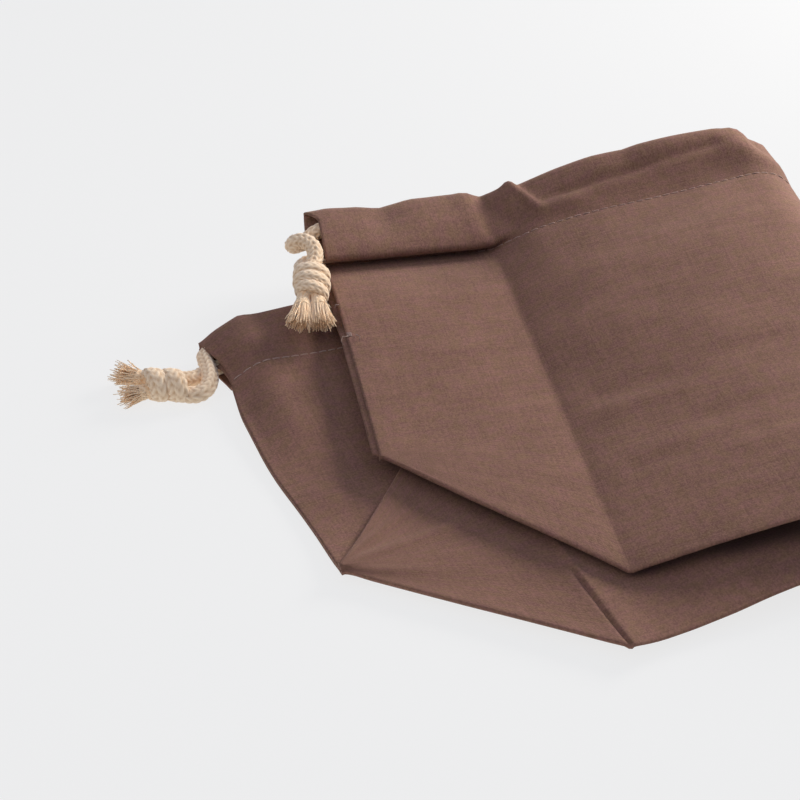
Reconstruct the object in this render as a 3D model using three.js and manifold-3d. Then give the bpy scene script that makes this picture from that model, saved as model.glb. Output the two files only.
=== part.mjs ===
// A box-bottomed drawstring bag of plain cloth, pressed flat with its bottom folded up behind it and
// then folded in half across its width, so that it lies on a table with a soft roll on its right.
// The cloth is one back-and-forth section of its layers, carried across the width of the mouth and
// round the half fold. Two cords run in the casings, each knotted at one side, with frayed ends.
// Millimetres, +Z up. X runs along the bottom edge and Y from the bottom edge to the mouth.
import * as THREE from 'three';
import { mergeVertices } from 'three/addons/utils/BufferGeometryUtils.js';
import Module from 'manifold-3d';

const wasm = await Module();
wasm.setup();

// The bag as it is sewn.
const MOUTH_WIDTH = 324;
const HALF_GUSSET = 50;
const BOX_HEIGHT = 145;
const CASING_HEIGHT = 18;
const SLIT_END = 100;
const CLOTH = 1;
const LAYER_GAP = 0.3;
const CORD_DIAMETER = 4.6;
const CLEARANCE = 0.3;

// The half fold: its line leans to the left going up from the bottom edge.
const FOLD_TILT = THREE.MathUtils.degToRad(5.9);
const FOLD_AT_BOTTOM = 157;

// Height of the upper half's face over the table at the side edge, at the box crease and midway to
// the roll, and the radius of the roll, for each distance up the bag.
const LIE = [
  { up: 0, edge: 8, crease: 7.3, middle: 13.5, roll: 11 },
  { up: 50, edge: 11, crease: 11, middle: 16, roll: 11.4 },
  { up: 100, edge: 17.6, crease: 16.5, middle: 20.8, roll: 13.5 },
  { up: 112, edge: 18.1, crease: 17.8, middle: 22.8, roll: 14.6 },
  { up: 122, edge: 18.8, crease: 18.4, middle: 25.6, roll: 15.6 },
  { up: 127, edge: 19.2, crease: 19.4, middle: 30.6, roll: 15.8 },
  { up: 145, edge: 22, crease: 22, middle: 30.6, roll: 15.8 },
];
const MIDDLE_AT = 84;
const CASING_CROWN = 2;

// The ears of the box bottom come to a short blunt tip at the side seams.
const TIP_SHARE = 0.06;
const BACK_EDGE_PROUD = 1.5;
const CASING_END_FLARE = 3;
const END_BLEND = 12;
const SEAM_WIDTH = [0.5, 1.7];
const SEAM_START = HALF_GUSSET + 3;
const TIP_REACH = 20;

// A fold of the cloth rounds off over the first length and is hollow from the second on.
const FOLD_ROUND = 0.6;
const FOLD_INSIDE = 1.4;
const HEM_STEP = 0.05;

// Inside a casing: the room for two cords side by side, and how far each skin slopes around it.
const STITCH_LINE = BOX_HEIGHT - CASING_HEIGHT;
const TUNNEL_HEIGHT = CORD_DIAMETER + 2 * CLEARANCE;
const TUNNEL_MARGIN = { low: 3.1, high: 3.2 };
const TUNNEL_LOW = STITCH_LINE + TUNNEL_MARGIN.low;
const TUNNEL_HIGH = BOX_HEIGHT - TUNNEL_MARGIN.high;
const SLOPE_FRONT_HEM = [1.6, 1];
const SLOPE_BACK_HEM = [2.1, 1.4];
const SLOPE_BACK = [2.8, 1.2];
const HEM_RAMP = 5;
const BOTTOM_DIP = 46;
const END_RECESS = 9.5;
const END_OVERRUN = 8;

// Places across the mouth where the section stands: from each end over its ear, then each half's
// panel, and close steps round the roll.
const EAR_STATIONS = [0, 2, 12, 24, 37, HALF_GUSSET];
const LEFT_STATIONS = [66, 82, 98, 114];
const RIGHT_STATIONS = [198, 216, 235, 255];
const ROLL_HALF = 25;
const ROLL_STEPS = 10;

const CORD_SIDES = 10;
const LOW_LANE = TUNNEL_LOW + CLEARANCE + CORD_DIAMETER / 2;
const HIGH_LANE = TUNNEL_HIGH - CLEARANCE - CORD_DIAMETER / 2;

const brown = new THREE.MeshStandardMaterial({ color: 0x7a5a4e, roughness: 0.9, metalness: 0 });
const cotton = new THREE.MeshStandardMaterial({ color: 0xdcc8a6, roughness: 0.95, metalness: 0 });

const { lerp, clamp, smoothstep } = THREE.MathUtils;

// Straight-line reading of a table column at a distance up the bag.
function readTable(rows, column, up) {
  const last = rows.length - 1;
  let i = 0;
  while (i < last - 1 && up > rows[i + 1].up) i += 1;
  const share = clamp((up - rows[i].up) / (rows[i + 1].up - rows[i].up), 0, 1);
  return lerp(rows[i][column], rows[i + 1][column], share);
}

// A slope that climbs from 0 at one end of a tunnel to 1, and falls again past the other end.
function tunnelBump(up, [foot, shoulder]) {
  const rise = clamp((up - TUNNEL_LOW + foot) / (foot - shoulder), 0, 1);
  const fall = clamp((TUNNEL_HIGH + foot - up) / (foot - shoulder), 0, 1);
  return Math.min(rise, fall);
}

// Depth of each face of the flattened bag behind its outer front face. Faces are numbered inwards:
// 0 to 3 front cloth and its hem, 4 to 7 back cloth and its hem, 8 and 9 the return of the gusset,
// 10 and 11 the bottom with its ears.
function faceDepth(face, up) {
  const hemmed = clamp((up - STITCH_LINE + HEM_RAMP) / HEM_RAMP, 0, 1);
  const inCasing = up >= STITCH_LINE - 1e-6;
  const frontHem = 2 * CLOTH + TUNNEL_HEIGHT * tunnelBump(up, SLOPE_FRONT_HEM);
  const backHem = 2 * CLOTH + LAYER_GAP + TUNNEL_HEIGHT * tunnelBump(up, SLOPE_BACK_HEM);
  const backHemBelow = CLOTH * (1 + hemmed) + LAYER_GAP;
  const back = 4 * CLOTH + LAYER_GAP + 2 * TUNNEL_HEIGHT * tunnelBump(up, SLOPE_BACK);
  const plateau = 3 * CLOTH + TUNNEL_HEIGHT + LAYER_GAP;
  const bottomDip = smoothstep(up, 0, BOTTOM_DIP);
  const bottom = CLOTH + LAYER_GAP + 2 * (CLOTH + LAYER_GAP) * bottomDip;
  const inTunnel = up >= TUNNEL_LOW - 1e-3 && up <= TUNNEL_HIGH + 1e-3;
  const thirds = (from, to) => [0, 1, 2, 3].map((k) => lerp(from, to, k / 3));
  let front = thirds(0, inCasing ? frontHem : CLOTH);
  let rear = thirds(inCasing ? backHem : backHemBelow, inCasing ? back : backHemBelow + CLOTH);
  if (inTunnel) {
    front = [0, CLOTH, CLOTH + TUNNEL_HEIGHT, frontHem];
    rear = [backHem, plateau, plateau + TUNNEL_HEIGHT, back];
  }
  const fold = [2 * (CLOTH + LAYER_GAP), 3 * CLOTH + 2 * LAYER_GAP, bottom, bottom + CLOTH];
  const depths = [...front, ...rear, ...fold];
  const low = Math.floor(face);
  const high = Math.ceil(face);
  return lerp(depths[low], depths[high], face - low);
}

// Signed distance of a point of the flattened bag from the half-fold line, and its place along it.
function foldAxes(across, up) {
  const c = Math.cos(FOLD_TILT);
  const s = Math.sin(FOLD_TILT);
  const from = across - FOLD_AT_BOTTOM;
  return { past: from * c + up * s, along: -from * s + up * c };
}

function unfoldAxes(past, along) {
  const c = Math.cos(FOLD_TILT);
  const s = Math.sin(FOLD_TILT);
  return { x: FOLD_AT_BOTTOM + past * c - along * s, y: past * s + along * c };
}

// Height of the upper half's outer face over the table.
function upperFace(across, up) {
  const roll = readTable(LIE, 'roll', up);
  const foldAt = FOLD_AT_BOTTOM - up * Math.tan(FOLD_TILT);
  const rollStart = foldAt - (Math.PI * roll) / 2 / Math.cos(FOLD_TILT);
  const middle = readTable(LIE, 'middle', up);
  const crease = readTable(LIE, 'crease', up);
  const crown = CASING_CROWN * clamp((up - STITCH_LINE) / (TUNNEL_LOW - STITCH_LINE), 0, 1);
  const fade = clamp((rollStart - across) / (rollStart - MIDDLE_AT), 0, 1);
  let face = lerp(2 * roll, middle, fade);
  const towards = clamp((across - HALF_GUSSET) / (MIDDLE_AT - HALF_GUSSET), 0, 1);
  if (across < MIDDLE_AT) face = lerp(crease, middle, towards);
  if (across < HALF_GUSSET) face = lerp(readTable(LIE, 'edge', up), crease, across / HALF_GUSSET);
  return face + crown * fade;
}

// A point of the flattened bag, at a depth behind its outer front face, taken round the half fold.
function foldPoint(across, up, depth) {
  const { past, along } = foldAxes(across, up);
  const roll = readTable(LIE, 'roll', up);
  const reach = (Math.PI * roll) / 2;
  if (past <= -reach) return new THREE.Vector3(across, up, upperFace(across, up) - depth);
  const turn = (Math.PI * (past + reach)) / (2 * reach);
  const onRoll = -reach + (roll - depth) * Math.sin(turn);
  const flat = unfoldAxes(past < reach ? onRoll : -past, along);
  const z = past < reach ? roll + (roll - depth) * Math.cos(turn) : depth;
  return new THREE.Vector3(flat.x, flat.y, z);
}

function mouthStations() {
  const rollStations = [];
  for (let i = 0; i <= ROLL_STEPS; i += 1) {
    rollStations.push(FOLD_AT_BOTTOM + ROLL_HALF * ((2 * i) / ROLL_STEPS - 1));
  }
  const farEar = EAR_STATIONS.map((station) => MOUTH_WIDTH - station).reverse();
  return [...EAR_STATIONS, ...LEFT_STATIONS, ...rollStations, ...RIGHT_STATIONS, ...farEar];
}

// Stations lean with the fold line near the roll and stand square to the bottom edge at the ears.
function leaning(station, up) {
  const left = (station - HALF_GUSSET) / (FOLD_AT_BOTTOM - ROLL_HALF - HALF_GUSSET);
  const farCrease = MOUTH_WIDTH - HALF_GUSSET;
  const right = (farCrease - station) / (farCrease - FOLD_AT_BOTTOM - ROLL_HALF);
  return station - up * Math.tan(FOLD_TILT) * clamp(Math.min(left, right), 0, 1);
}

// A point of the section at one station: up the bag, face number, place across the mouth.
function clothPoint(up, face, station) {
  const fromEnd = Math.min(station, MOUTH_WIDTH - station);
  const share = clamp(fromEnd / HALF_GUSSET, TIP_SHARE, 1);
  const inGusset = up < HALF_GUSSET || face >= 8;
  const placeUp = inGusset ? HALF_GUSSET + (up - HALF_GUSSET) * share : up;
  const endShare = clamp(1 - fromEnd / END_BLEND, 0, 1);
  const proud = face >= 4 && face < 8 ? BACK_EDGE_PROUD : 0;
  const flare = CASING_END_FLARE * clamp((up - STITCH_LINE) / CASING_HEIGHT, 0, 1);
  const outwards = station < MOUTH_WIDTH / 2 ? -1 : 1;
  const across = leaning(station, placeUp) + outwards * endShare * (proud + flare);
  return foldPoint(across, placeUp, faceDepth(face, up));
}

// An extruded outline whose steps stand at given places: place(x, y, step) puts each point.
function loft(shape, steps, place) {
  const solid = new THREE.ExtrudeGeometry(shape, { depth: steps, steps, bevelEnabled: false });
  solid.deleteAttribute('normal');
  solid.deleteAttribute('uv');
  const points = solid.getAttribute('position');
  for (let i = 0; i < points.count; i += 1) {
    const p = place(points.getX(i), points.getY(i), points.getZ(i));
    points.setXYZ(i, p.x, p.y, p.z);
  }
  const closed = mergeVertices(solid, 1e-4);
  const order = closed.index.array;
  if (signedVolume(closed) < 0) {
    for (let i = 0; i < order.length; i += 3) [order[i], order[i + 1]] = [order[i + 1], order[i]];
  }
  return closed;
}

function signedVolume(geometry) {
  const points = geometry.getAttribute('position');
  const corner = (i) => new THREE.Vector3().fromBufferAttribute(points, geometry.index.array[i]);
  let total = 0;
  for (let i = 0; i < geometry.index.count; i += 3) {
    total += corner(i).dot(corner(i + 1).cross(corner(i + 2)));
  }
  return total / 6;
}

function toManifold(geometry) {
  const merged = geometry.index ? geometry : mergeVertices(geometry, 1e-4);
  return new wasm.Manifold(new wasm.Mesh({
    numProp: 3,
    vertProperties: new Float32Array(merged.getAttribute('position').array),
    triVerts: new Uint32Array(merged.index.array),
  }));
}

function toGeometry(manifold) {
  const mesh = manifold.getMesh();
  const geometry = new THREE.BufferGeometry();
  geometry.setAttribute('position', new THREE.BufferAttribute(mesh.vertProperties, 3));
  geometry.setIndex(new THREE.BufferAttribute(mesh.triVerts, 1));
  return geometry;
}

// The back-and-forth section of the cloth as stops along it, each with the distance up the bag and the
// face number on its outside and on its inside: down the front, along the bottom, back along the
// return of the gusset, and up the back.
function clothStops() {
  const stops = [];
  const panel = (outside, inside, ups) => ups.forEach((up) => stops.push([[up, outside], [up, inside]]));
  const [frontFoot, frontShoulder] = SLOPE_FRONT_HEM;
  const [hemFoot, hemShoulder] = SLOPE_BACK_HEM;
  const [backFoot, backShoulder] = SLOPE_BACK;
  const tip = 2 * HALF_GUSSET;
  stops.push([[BOX_HEIGHT, 1], [BOX_HEIGHT, 2]]);
  panel(0, 3, [BOX_HEIGHT - FOLD_ROUND, TUNNEL_HIGH + frontFoot, TUNNEL_HIGH + frontShoulder, TUNNEL_HIGH]);
  panel(0, 3, [TUNNEL_LOW, TUNNEL_LOW - frontShoulder, TUNNEL_LOW - frontFoot, STITCH_LINE]);
  panel(0, 3, [STITCH_LINE - HEM_STEP, 122, 112, SLIT_END, 75, HALF_GUSSET, 33, 16]);
  stops.push([[FOLD_ROUND, 0], [FOLD_ROUND + FOLD_INSIDE, 3]]);
  stops.push([[0, 1.5], [FOLD_INSIDE, 3]]);
  stops.push([[0, 10.5], [FOLD_INSIDE, 10]]);
  stops.push([[FOLD_ROUND, 11], [FOLD_ROUND + FOLD_INSIDE, 10]]);
  panel(11, 10, [12, 25, 38, HALF_GUSSET, 62, 75, 88]);
  stops.push([[tip - FOLD_ROUND, 11], [tip - FOLD_INSIDE - FOLD_ROUND, 10]]);
  stops.push([[tip, 10.5], [tip - FOLD_INSIDE, 10]]);
  stops.push([[tip, 8.5], [tip - FOLD_INSIDE, 9]]);
  stops.push([[tip - FOLD_ROUND, 8], [tip - FOLD_INSIDE - FOLD_ROUND, 9]]);
  panel(8, 9, [88, 75, 62]);
  stops.push([[HALF_GUSSET + FOLD_INSIDE + FOLD_ROUND, 8], [HALF_GUSSET + FOLD_ROUND, 9]]);
  stops.push([[HALF_GUSSET + FOLD_INSIDE, 8], [HALF_GUSSET, 8.5]]);
  stops.push([[HALF_GUSSET + FOLD_INSIDE, 7], [HALF_GUSSET, 5.5]]);
  stops.push([[HALF_GUSSET + FOLD_INSIDE + FOLD_ROUND, 7], [HALF_GUSSET + FOLD_ROUND, 4]]);
  panel(7, 4, [75, SLIT_END, 112, 122, STITCH_LINE]);
  stops.push([[TUNNEL_LOW - backFoot, 7], [TUNNEL_LOW - hemFoot, 4]]);
  stops.push([[TUNNEL_LOW - backShoulder, 7], [TUNNEL_LOW - hemShoulder, 4]]);
  panel(7, 4, [TUNNEL_LOW, TUNNEL_HIGH]);
  stops.push([[TUNNEL_HIGH + backShoulder, 7], [TUNNEL_HIGH + hemShoulder, 4]]);
  stops.push([[TUNNEL_HIGH + backFoot, 7], [TUNNEL_HIGH + hemFoot, 4]]);
  stops.push([[BOX_HEIGHT, 6], [BOX_HEIGHT, 5]]);
  return stops;
}

// A solid along stops like those, over some stations. Its outline is laid out as a thin ring, one
// short step of the ring to each stop, and each point of the ring then goes to its place in the cloth.
const RING_RADIUS = 1000;
const RING_THICKNESS = 0.3;
const RING_SPARE = 9;

function alongStops(stops, stations, tunnels = false) {
  const turn = (2 * Math.PI) / (stops.length + RING_SPARE);
  const onRing = (i, share) => {
    const reach = RING_RADIUS + RING_THICKNESS * share;
    return new THREE.Vector2(reach * Math.cos(i * turn), reach * Math.sin(i * turn));
  };
  const outside = stops.map((stop, i) => onRing(i, 1));
  const inside = stops.map((stop, i) => onRing(i, 0)).reverse();
  const shape = new THREE.Shape([...outside, ...inside]);
  const inTunnel = ([[up], [upInside]]) => up === upInside && up >= TUNNEL_LOW && up <= TUNNEL_HIGH;
  for (let i = 0; tunnels && i < stops.length - 1; i += 1) {
    const corners = [onRing(i, 1 / 3), onRing(i + 1, 1 / 3), onRing(i + 1, 2 / 3), onRing(i, 2 / 3)];
    if (inTunnel(stops[i]) && inTunnel(stops[i + 1])) shape.holes.push(new THREE.Path(corners));
  }
  return loft(shape, stations.length - 1, (x, y, step) => {
    const angle = Math.atan2(y, x);
    const i = Math.round((angle > -turn / 2 ? angle : angle + 2 * Math.PI) / turn);
    const share = Math.round((3 * (Math.hypot(x, y) - RING_RADIUS)) / RING_THICKNESS) / 3;
    const [[upOutside, faceOutside], [upInside, faceInside]] = stops[i];
    const up = lerp(upInside, upOutside, share);
    return clothPoint(up, lerp(faceInside, faceOutside, share), stations[Math.round(step)]);
  });
}

// A block of the flattened bag between some distances up it and two faces, over a few stations.
function clothBlock(ups, [faceFrom, faceTo], stations) {
  return toManifold(alongStops(ups.map((up) => [[up, faceTo], [up, faceFrom]]), stations));
}

// One solid: the section across the mouth, closed by the two side seams up to the slits, with the
// hems cut back at the ends of the casings where a cord turns round.
function makeCloth() {
  let cloth = toManifold(alongStops(clothStops(), mouthStations(), true));
  const mirrored = (list) => list.map((station) => MOUTH_WIDTH - station);
  for (const side of [(list) => list, mirrored]) {
    const seam = clothBlock([SEAM_START, SLIT_END], [1.5, 5.5], side(SEAM_WIDTH));
    const tipUps = [HALF_GUSSET - TIP_REACH, HALF_GUSSET, HALF_GUSSET + TIP_REACH];
    const tip = clothBlock(tipUps, [1.5, 10.5], side(SEAM_WIDTH));
    const recessStations = [-END_OVERRUN, ...EAR_STATIONS.slice(0, 2), END_RECESS];
    const recess = clothBlock([TUNNEL_LOW, TUNNEL_HIGH], [1, 6], side(recessStations));
    cloth = cloth.add(seam).add(tip).subtract(recess);
  }
  return toGeometry(cloth);
}

// Frames along a line of points, turned as little as may be from one to the next.
function framesAlong(points) {
  const tangents = points.map((p, i) => {
    const before = points[Math.max(i - 1, 0)];
    const after = points[Math.min(i + 1, points.length - 1)];
    return after.clone().sub(before).normalize();
  });
  let side = new THREE.Vector3(0, 0, 1).cross(tangents[0]).normalize();
  return points.map((origin, i) => {
    side = side.clone().addScaledVector(tangents[i], -side.dot(tangents[i])).normalize();
    return { origin, side, up: tangents[i].clone().cross(side) };
  });
}

// A round cord through a line of points, one ring of its section at each.
function makeCord(points) {
  const ring = [];
  for (let i = 0; i < CORD_SIDES; i += 1) {
    const turn = (2 * Math.PI * i) / CORD_SIDES;
    ring.push(new THREE.Vector2(Math.cos(turn), Math.sin(turn)).multiplyScalar(CORD_DIAMETER / 2));
  }
  const frames = framesAlong(points);
  return loft(new THREE.Shape(ring), points.length - 1, (x, y, step) => {
    const { origin, side, up } = frames[Math.round(step)];
    return origin.clone().addScaledVector(side, x).addScaledVector(up, y);
  });
}

// The stretch of a cord inside a casing, on the stations of the cloth around it.
const FRONT_LANE_DEPTH = CLOTH + TUNNEL_HEIGHT / 2;
const BACK_LANE_DEPTH = 3 * CLOTH + LAYER_GAP + 1.5 * TUNNEL_HEIGHT;

function lanePoint(station, lane, depth) {
  return foldPoint(leaning(station, lane), lane, depth);
}

function casingRun(lane, depth) {
  return mouthStations().slice(1, -1).map((station) => lanePoint(station, lane, depth));
}

const TURN_CENTRE = END_RECESS - 0.7;
const TURN_STEPS = 8;

// The turn of a cord at the far end of the mouth, from the front casing into the back casing.
function turnAround(frontLane, backLane, atRight) {
  const lift = (backLane - frontLane) / 2;
  const sink = (BACK_LANE_DEPTH - FRONT_LANE_DEPTH) / 2;
  const radius = Math.hypot(lift, sink);
  const points = [];
  for (let i = 0; i <= TURN_STEPS; i += 1) {
    const turn = (Math.PI * i) / TURN_STEPS;
    const fromEnd = TURN_CENTRE - radius * Math.sin(turn);
    const lane = (frontLane + backLane) / 2 - lift * Math.cos(turn);
    const depth = (FRONT_LANE_DEPTH + BACK_LANE_DEPTH) / 2 - sink * Math.cos(turn);
    points.push(lanePoint(atRight ? MOUTH_WIDTH - fromEnd : fromEnd, lane, depth));
  }
  return points;
}

const vector = ([x, y, z]) => new THREE.Vector3(x, y, z);

// Free ends of the cords, from the knot to the mouth of the casing. Each ends square to its knot.
const LEFT_FRONT_END = [
  [-4.3, 123.1, 19.4], [-4, 125.3, 19.9], [-4.2, 127.6, 21.9], [-6.2, 129.8, 23], [-8.8, 131.8, 21.8],
  [-9.8, 134.3, 20], [-9.4, 137, 19.1], [-7.4, 138.9, 18.9], [-4.3, 139.2, 19.3],
];
const LEFT_BACK_END = [
  [-9.4, 123.8, 19.3], [-9.3, 126, 19.2], [-9.6, 128.7, 17.2], [-8.8, 131.5, 13.8], [-5.8, 132.6, 11.3],
];
const RIGHT_FRONT_END = [
  [-43.9, 95.9, 3.2], [-42, 95.7, 3], [-39.6, 96, 2.9], [-37, 95.8, 3.2],
];
const RIGHT_BACK_END = [
  [-45.2, 90.9, 3.2], [-43.3, 90.4, 3], [-41, 89.9, 2.9], [-39.6, 90.3, 3.7], [-38.9, 91.5, 5.6],
  [-38.8, 93.2, 8], [-39, 96.2, 10], [-39.2, 99.2, 10.9], [-37.6, 101.2, 11],
];

// Knots: the middle of the end where the cords go in, the far end, and half its width and thickness.
const KNOTS = {
  left: { from: [-6.9, 122.8, 19.3], to: [-8.1, 112.8, 18.6], width: 5.3, thickness: 4.4 },
  right: { from: [-45.1, 93.5, 4.7], to: [-55.1, 96.1, 4.7], width: 4.7, thickness: 4.6 },
};
// How far the frayed ends lie below the middle of their knot, and how flat they lie.
const TAIL_LIE = { left: { drop: 0, flat: 1 }, right: { drop: 2.2, flat: 0.8 } };
// Radius of the knot along its length, as shares of its width, ridged where the cord wraps round it.
const KNOT_RIDGES = [
  { along: 0, share: 0.86 }, { along: 0.12, share: 1 }, { along: 0.3, share: 0.9 },
  { along: 0.48, share: 1 }, { along: 0.66, share: 0.9 }, { along: 0.82, share: 0.96 },
  { along: 1, share: 0.74 },
];
const KNOT_SIDES = 14;

// Turns and moves a solid that stands along Y so that it points along a line from a place.
function layAlong(solid, from, along) {
  const side = new THREE.Vector3(0, 0, 1).cross(along).normalize();
  const turned = new THREE.Matrix4().makeBasis(side, along, side.clone().cross(along));
  return solid.applyMatrix4(turned.setPosition(from));
}

function bare(solid) {
  solid.deleteAttribute('normal');
  solid.deleteAttribute('uv');
  return mergeVertices(solid, 1e-4);
}

function makeKnot({ from, to, width, thickness }) {
  const axis = vector(to).sub(vector(from));
  const length = axis.length();
  const profile = KNOT_RIDGES.map(({ along, share }) => new THREE.Vector2(width * share, length * along));
  const ends = [new THREE.Vector2(0, 0), new THREE.Vector2(0, length)];
  const solid = bare(new THREE.LatheGeometry([ends[0], ...profile, ends[1]], KNOT_SIDES));
  solid.scale(1, 1, thickness / width);
  return layAlong(solid, vector(from), axis.normalize());
}

// Frayed end past a knot: a short head of the cord, and the strands that come loose from it.
const HEAD_RADIUS = 2;
const HEAD_LENGTH = 2.8;
const HEAD_SPACING = 2.4;
const HEAD_GAP = 0.75;
const STRANDS = 22;
const STRAND_LENGTH = 8.6;
const STRAND_RADIUS = { root: 0.42, tip: 0.16 };
const STRAND_SPREAD = 1.3;
const STRAND_LEAN = 1.3;
const STRAND_UNEVEN = 0.3;
const STRAND_SIDES = 4;
const GOLDEN_TURN = 2.39996;

function makeTail({ from, to }, { drop, flat }, hand) {
  const along = vector(to).sub(vector(from)).normalize();
  const side = new THREE.Vector3(0, 0, 1).cross(along).normalize().multiplyScalar(hand);
  const level = along.clone().setZ(0).normalize();
  const root = vector(to).addScaledVector(along, HEAD_GAP).addScaledVector(side, HEAD_SPACING);
  root.z -= drop;
  const head = bare(new THREE.CylinderGeometry(HEAD_RADIUS, HEAD_RADIUS, HEAD_LENGTH, CORD_SIDES));
  head.translate(0, HEAD_LENGTH / 2, 0);
  let tail = toManifold(layAlong(head, root, level));
  for (let i = 0; i < STRANDS; i += 1) {
    const out = (HEAD_RADIUS - STRAND_RADIUS.root) * Math.sqrt((i + 0.5) / STRANDS);
    const turn = i * GOLDEN_TURN;
    const start = root.clone().addScaledVector(level, HEAD_LENGTH / 2);
    start.addScaledVector(side, out * Math.cos(turn));
    start.z += out * Math.sin(turn);
    const length = STRAND_LENGTH * (1 - STRAND_UNEVEN * Math.abs(Math.sin(turn * turn)));
    const end = root.clone().addScaledVector(level, HEAD_LENGTH + length);
    end.addScaledVector(side, STRAND_LEAN + STRAND_SPREAD * out * Math.cos(turn));
    end.z += STRAND_SPREAD * flat * out * Math.sin(turn);
    const reach = end.clone().sub(start);
    const { root: thick, tip: thin } = STRAND_RADIUS;
    const strand = bare(new THREE.CylinderGeometry(thin, thick, reach.length(), STRAND_SIDES));
    strand.translate(0, reach.length() / 2, 0);
    tail = tail.add(toManifold(layAlong(strand, start, reach.normalize())));
  }
  return toGeometry(tail);
}

const bag = new THREE.Group();

function addPiece(name, geometry, material) {
  const mesh = new THREE.Mesh(geometry, material);
  mesh.name = name;
  bag.add(mesh);
}

addPiece('bag_cloth', makeCloth(), brown);
addPiece('cord_left', makeCord([
  ...LEFT_FRONT_END.map(vector),
  ...casingRun(HIGH_LANE, FRONT_LANE_DEPTH).slice(0, -1),
  ...turnAround(HIGH_LANE, LOW_LANE, true),
  ...casingRun(LOW_LANE, BACK_LANE_DEPTH).slice(0, -1).reverse(),
  ...LEFT_BACK_END.map(vector).reverse(),
]), cotton);
addPiece('cord_right', makeCord([
  ...RIGHT_FRONT_END.map(vector),
  ...casingRun(LOW_LANE, FRONT_LANE_DEPTH).slice(1).reverse(),
  ...turnAround(LOW_LANE, HIGH_LANE, false),
  ...casingRun(HIGH_LANE, BACK_LANE_DEPTH).slice(1),
  ...RIGHT_BACK_END.map(vector).reverse(),
]), cotton);
for (const hand of ['left', 'right']) {
  addPiece(`knot_${hand}`, makeKnot(KNOTS[hand]), cotton);
  addPiece(`tail_${hand}_front`, makeTail(KNOTS[hand], TAIL_LIE[hand], 1), cotton);
  addPiece(`tail_${hand}_back`, makeTail(KNOTS[hand], TAIL_LIE[hand], -1), cotton);
}

// The origin stands under the middle of the cloth.
const clothBox = new THREE.Box3().setFromObject(bag.getObjectByName('bag_cloth'));
const middle = clothBox.getCenter(new THREE.Vector3());
bag.position.set(-middle.x, -middle.y, 0);

export default bag;
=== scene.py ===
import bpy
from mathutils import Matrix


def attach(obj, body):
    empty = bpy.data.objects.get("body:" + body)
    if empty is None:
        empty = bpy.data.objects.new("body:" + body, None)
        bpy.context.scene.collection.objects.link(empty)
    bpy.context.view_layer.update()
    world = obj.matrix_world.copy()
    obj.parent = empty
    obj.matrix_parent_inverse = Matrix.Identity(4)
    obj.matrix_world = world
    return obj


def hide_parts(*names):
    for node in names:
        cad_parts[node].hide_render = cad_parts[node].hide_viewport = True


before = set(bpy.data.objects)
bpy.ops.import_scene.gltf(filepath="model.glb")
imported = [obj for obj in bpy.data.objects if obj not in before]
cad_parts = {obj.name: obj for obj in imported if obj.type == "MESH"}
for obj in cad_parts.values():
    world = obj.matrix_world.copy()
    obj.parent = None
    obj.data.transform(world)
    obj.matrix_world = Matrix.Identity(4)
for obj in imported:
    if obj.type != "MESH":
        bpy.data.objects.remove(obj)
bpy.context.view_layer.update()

import math

import bpy
import numpy as np
from mathutils import Vector

# The studio: a pale sweep under the bag, a soft lamp high on the right and a little behind it, a weak
# fill lamp at the front left, and even light from the room above. The camera looks down on the bag
# from the front, as in the picture.
MM = 0.001
EYE = Vector((-115.8, -319.7, 263.5)) * MM
AIM = Vector((-43.26, 20.46, 0)) * MM
LENS_MM = 72.26
SENSOR_MM = 36
LAMP_COLOUR = (1.0, 0.965, 0.9)
LAMPS = {
    "lamp": {"heading": (0.80, 0.40, 0.43), "distance": 0.62, "size": 0.27, "watts": 4.45},
    "fill": {"heading": (-0.6, -0.3, 0.72), "distance": 0.9, "size": 0.6, "watts": 1.25},
}
ROOM_COLOUR = (0.84, 0.92, 1.17, 1)
ROOM_HORIZON = 0.2
ROOM_LOW = 0.04
ROOM_HIGH = 0.66
FLOOR_HALF = 4
FLOOR_FINISH = {"Base Color": (0.10, 0.10, 0.10, 1), "Roughness": 0.85, "Specular IOR Level": 0,
                "Emission Color": (1, 1, 1, 1)}
FLOOR_SEEN_GLOW = 0.765
FLOOR_BOUNCE = 0.8

scene = bpy.context.scene
scene.view_settings.view_transform = "Standard"

camera = bpy.data.objects.new("camera", bpy.data.cameras.new("camera"))
camera.data.lens = LENS_MM
camera.data.sensor_width = SENSOR_MM
camera.location = EYE
camera.rotation_euler = (AIM - EYE).to_track_quat("-Z", "Y").to_euler()
scene.collection.objects.link(camera)
scene.camera = camera

for name, lamp_facts in LAMPS.items():
    lamp = bpy.data.objects.new(name, bpy.data.lights.new(name, "AREA"))
    lamp.data.shape = "DISK"
    lamp.data.size = lamp_facts["size"]
    lamp.data.energy = lamp_facts["watts"]
    lamp.data.color = LAMP_COLOUR
    lamp.location = AIM + Vector(lamp_facts["heading"]).normalized() * lamp_facts["distance"]
    lamp.rotation_euler = (AIM - lamp.location).to_track_quat("-Z", "Y").to_euler()
    scene.collection.objects.link(lamp)


def new_material(name, finish):
    material = bpy.data.materials.new(name)
    material.use_nodes = True
    shader = material.node_tree.nodes["Principled BSDF"]
    for socket, value in finish.items():
        shader.inputs[socket].default_value = value
    return material, material.node_tree, shader


def add_node(tree, kind, links=(), **settings):
    node = tree.nodes.new(kind)
    for key, value in settings.items():
        if key in node.inputs:
            node.inputs[key].default_value = value
        else:
            setattr(node, key, value)
    for socket, source in links:
        tree.links.new(source, node.inputs[socket])
    return node


def mapped(tree, value, from_min, from_max, to_min=0.0, to_max=1.0):
    node = add_node(tree, "ShaderNodeMapRange", [("Value", value)])
    ends = {"From Min": from_min, "From Max": from_max, "To Min": to_min, "To Max": to_max}
    for socket, number in ends.items():
        node.inputs[socket].default_value = number
    return node.outputs["Result"]


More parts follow.
